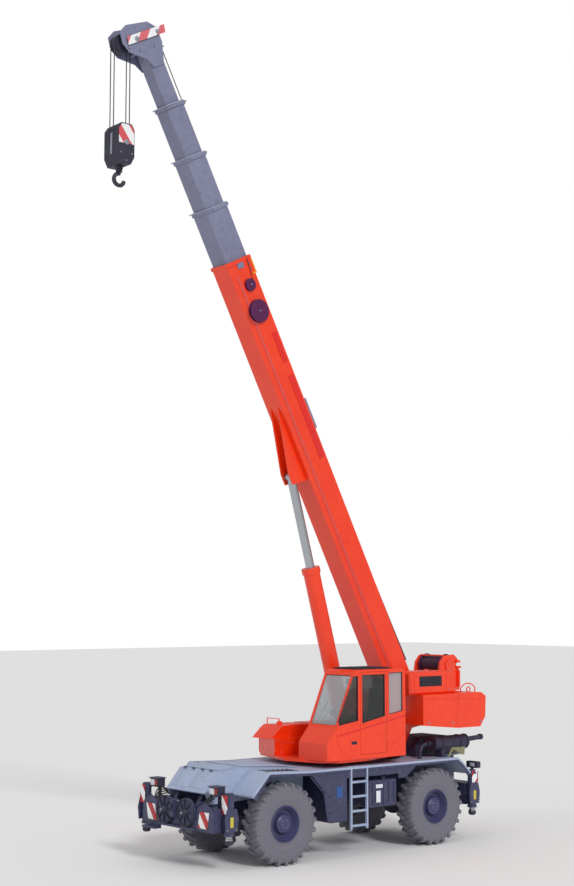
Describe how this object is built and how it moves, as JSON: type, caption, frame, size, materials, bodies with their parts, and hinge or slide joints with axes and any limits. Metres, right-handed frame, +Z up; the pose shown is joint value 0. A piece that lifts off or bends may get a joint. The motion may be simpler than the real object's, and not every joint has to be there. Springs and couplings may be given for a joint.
{
  "type": "rough-terrain mobile crane",
  "caption": "Mobile crane: four-wheel carrier with outriggers, slewing upper structure with side cab and counterweight, and a raised telescopic boom with hook block.",
  "frame": {"origin": "on the ground, under the middle of the crane's box as it stands with its boom raised", "axes": "+Z up, +X forward along the carrier and towards the boom's tip, +Y to the driver's left, the cab's side"},
  "size_m": [8.6838, 2.5, 15.5665],
  "materials": {
    "orange_paint": "gloss paint",
    "pale_paint": "semi-gloss paint",
    "dark_paint": "satin paint",
    "tyre_rubber": "matte",
    "wheel_paint": "satin paint",
    "boom_paint": "semi-gloss paint",
    "window_glass": "clear",
    "seat_cloth": "woven",
    "console_plastic": "moulded",
    "polished_rod": "ground and plated",
    "lamp_plastic": "moulded",
    "silencer_steel": "heat-stained paint",
    "engine_iron": "painted casting",
    "rope_winding": "greased wire rope",
    "block_paint": "satin paint"
  },
  "bodies": {
    "carrier": {"chassis": "dark_paint", "front_axle": "dark_paint", "rear_axle": "dark_paint", "deck": "pale_paint", "front_bumper": "dark_paint", "headlamp_left": "lamp_plastic", "headlamp_right": "lamp_plastic", "engine_block": "engine_iron", "engine_hood": "dark_paint", "exhaust_silencer": "silencer_steel", "ladder_left": "pale_paint", "ladder_right": "pale_paint", "lockers_left": "dark_paint", "lockers_right": "dark_paint", "slewing_ring": "dark_paint"},
    "knuckle_front_left": {"knuckle_front_left": "dark_paint"},
    "knuckle_front_right": {"knuckle_front_right": "dark_paint"},
    "knuckle_rear_left": {"knuckle_rear_left": "dark_paint"},
    "knuckle_rear_right": {"knuckle_rear_right": "dark_paint"},
    "wheel_front_left": {"rim_front_left": "wheel_paint", "tyre_front_left": "tyre_rubber"},
    "wheel_front_right": {"rim_front_right": "wheel_paint", "tyre_front_right": "tyre_rubber"},
    "wheel_rear_left": {"rim_rear_left": "wheel_paint", "tyre_rear_left": "tyre_rubber"},
    "wheel_rear_right": {"rim_rear_right": "wheel_paint", "tyre_rear_right": "tyre_rubber"},
    "beam_front_left": {"outrigger_beam_front_left": "dark_paint"},
    "beam_front_right": {"outrigger_beam_front_right": "dark_paint"},
    "beam_rear_left": {"outrigger_beam_rear_left": "dark_paint"},
    "beam_rear_right": {"outrigger_beam_rear_right": "dark_paint"},
    "jack_front_left": {"outrigger_jack_front_left": "polished_rod"},
    "jack_front_right": {"outrigger_jack_front_right": "polished_rod"},
    "jack_rear_left": {"outrigger_jack_rear_left": "polished_rod"},
    "jack_rear_right": {"outrigger_jack_rear_right": "polished_rod"},
    "turret": {"turret_frame": "orange_paint", "counterweight": "orange_paint", "machinery_housing": "orange_paint", "front_cover": "orange_paint", "cab": "orange_paint", "cab_windshield": "window_glass", "cab_rear_side_glass": "window_glass", "cab_right_glass": "window_glass", "cab_seat": "seat_cloth", "cab_console": "console_plastic"},
    "cab_door": {"cab_door": "orange_paint", "cab_door_glass": "window_glass"},
    "winch_drum": {"winch_drum": "rope_winding"},
    "boom_base": {"boom_base": "orange_paint"},
    "boom_stage_1": {"boom_stage_1": "boom_paint"},
    "boom_stage_2": {"boom_stage_2": "boom_paint"},
    "boom_stage_3": {"boom_stage_3": "boom_paint"},
    "boom_stage_4": {"boom_stage_4": "boom_paint", "boom_head": "boom_paint", "head_sheaves": "dark_paint"},
    "lift_rod": {"lift_rod": "polished_rod"},
    "lift_barrel": {"lift_barrel": "orange_paint"},
    "hook_block": {"hook_block": "block_paint"},
    "hook": {"hook": "block_paint"}
  },
  "joints": [
    {"name": "steer_front_left", "type": "hinge", "parent": "carrier", "child": "knuckle_front_left", "pos_m": [1.177, 0.7, 0.745], "axis": [0, 0, 1], "range_deg": [-28, 28]},
    {"name": "spin_front_left", "type": "hinge", "parent": "knuckle_front_left", "child": "wheel_front_left", "pos_m": [1.177, 1.035, 0.745], "axis": [0, 1, 0], "continuous": true},
    {"name": "steer_front_right", "type": "hinge", "parent": "carrier", "child": "knuckle_front_right", "pos_m": [1.177, -0.7, 0.745], "axis": [0, 0, 1], "range_deg": [-28, 28]},
    {"name": "spin_front_right", "type": "hinge", "parent": "knuckle_front_right", "child": "wheel_front_right", "pos_m": [1.177, -1.035, 0.745], "axis": [0, 1, 0], "continuous": true},
    {"name": "steer_rear_left", "type": "hinge", "parent": "carrier", "child": "knuckle_rear_left", "pos_m": [-2.673, 0.7, 0.745], "axis": [0, 0, 1], "range_deg": [-28, 28]},
    {"name": "spin_rear_left", "type": "hinge", "parent": "knuckle_rear_left", "child": "wheel_rear_left", "pos_m": [-2.673, 1.035, 0.745], "axis": [0, 1, 0], "continuous": true},
    {"name": "steer_rear_right", "type": "hinge", "parent": "carrier", "child": "knuckle_rear_right", "pos_m": [-2.673, -0.7, 0.745], "axis": [0, 0, 1], "range_deg": [-28, 28]},
    {"name": "spin_rear_right", "type": "hinge", "parent": "knuckle_rear_right", "child": "wheel_rear_right", "pos_m": [-2.673, -1.035, 0.745], "axis": [0, 1, 0], "continuous": true},
    {"name": "beam_front_left_slide", "type": "slide", "parent": "carrier", "child": "beam_front_left", "axis": [0, 1, 0], "range_m": [0, 1.75]},
    {"name": "jack_front_left_slide", "type": "slide", "parent": "beam_front_left", "child": "jack_front_left", "axis": [0, 0, -1], "range_m": [0, 0.5]},
    {"name": "beam_front_right_slide", "type": "slide", "parent": "carrier", "child": "beam_front_right", "axis": [0, -1, 0], "range_m": [0, 1.75]},
    {"name": "jack_front_right_slide", "type": "slide", "parent": "beam_front_right", "child": "jack_front_right", "axis": [0, 0, -1], "range_m": [0, 0.5]},
    {"name": "beam_rear_left_slide", "type": "slide", "parent": "carrier", "child": "beam_rear_left", "axis": [0, 1, 0], "range_m": [0, 1.75]},
    {"name": "jack_rear_left_slide", "type": "slide", "parent": "beam_rear_left", "child": "jack_rear_left", "axis": [0, 0, -1], "range_m": [0, 0.5]},
    {"name": "beam_rear_right_slide", "type": "slide", "parent": "carrier", "child": "beam_rear_right", "axis": [0, -1, 0], "range_m": [0, 1.75]},
    {"name": "jack_rear_right_slide", "type": "slide", "parent": "beam_rear_right", "child": "jack_rear_right", "axis": [0, 0, -1], "range_m": [0, 0.5]},
    {"name": "turret_slew", "type": "hinge", "parent": "carrier", "child": "turret", "pos_m": [-0.948, 0, 0], "axis": [0, 0, 1], "continuous": true},
    {"name": "cab_door_hinge", "type": "hinge", "parent": "turret", "child": "cab_door", "pos_m": [-1.293, 1.242, 2.6], "axis": [0, 0, 1], "range_deg": [0, 95]},
    {"name": "winch_spin", "type": "hinge", "parent": "turret", "child": "winch_drum", "pos_m": [-3.948, 0, 3.45], "axis": [0, 1, 0], "continuous": true},
    {"name": "boom_luff", "type": "hinge", "parent": "turret", "child": "boom_base", "pos_m": [-2.868, 0, 2.75], "axis": [0, -1, 0], "range_deg": [-62.4, 17.6]},
    {"name": "boom_stage_1_slide", "type": "slide", "parent": "boom_base", "child": "boom_stage_1", "axis": [0.4633, 0, 0.8862], "range_m": [-0.7, 4.3]},
    {"name": "boom_stage_2_slide", "type": "slide", "parent": "boom_stage_1", "child": "boom_stage_2", "axis": [0.4633, 0, 0.8862], "range_m": [-0.7, 4.3]},
    {"name": "boom_stage_3_slide", "type": "slide", "parent": "boom_stage_2", "child": "boom_stage_3", "axis": [0.4633, 0, 0.8862], "range_m": [-0.7, 4.3]},
    {"name": "boom_stage_4_slide", "type": "slide", "parent": "boom_stage_3", "child": "boom_stage_4", "axis": [0.4633, 0, 0.8862], "range_m": [-0.7, 4.3]},
    {"name": "lift_rod_pin", "type": "hinge", "parent": "boom_base", "child": "lift_rod", "pos_m": [0.04447, 0, 7.24182], "axis": [0, -1, 0], "range_deg": [-7.94, 2.27]},
    {"name": "lift_barrel_slide", "type": "slide", "parent": "lift_rod", "child": "lift_barrel", "axis": [-0.268, 0, -0.9634], "range_m": [-1.6356, 0.4628]},
    {"name": "tackle_swing", "type": "hinge", "parent": "boom_stage_4", "child": "hook_block", "pos_m": [4.15773, 0, 15.06659], "axis": [0, -1, 0], "range_deg": [-17.65, 62.45]},
    {"name": "hook_swivel", "type": "hinge", "parent": "hook_block", "child": "hook", "pos_m": [4.15773, 0, 12.69659], "axis": [0, 0, 1], "continuous": true}
  ],
  "couplings": [
    {"joint": "steer_front_right", "follows": "steer_front_left", "ratio": 1},
    {"joint": "steer_rear_right", "follows": "steer_rear_left", "ratio": 1},
    {"joint": "boom_stage_2_slide", "follows": "boom_stage_1_slide", "ratio": 1},
    {"joint": "boom_stage_3_slide", "follows": "boom_stage_1_slide", "ratio": 1},
    {"joint": "boom_stage_4_slide", "follows": "boom_stage_1_slide", "ratio": 1},
    {"joint": "lift_rod_pin", "follows": "boom_luff", "ratio": 0.1264},
    {"joint": "lift_barrel_slide", "follows": "boom_luff", "m_per_rad": 1.5},
    {"joint": "tackle_swing", "follows": "boom_luff", "ratio": -1}
  ]
}
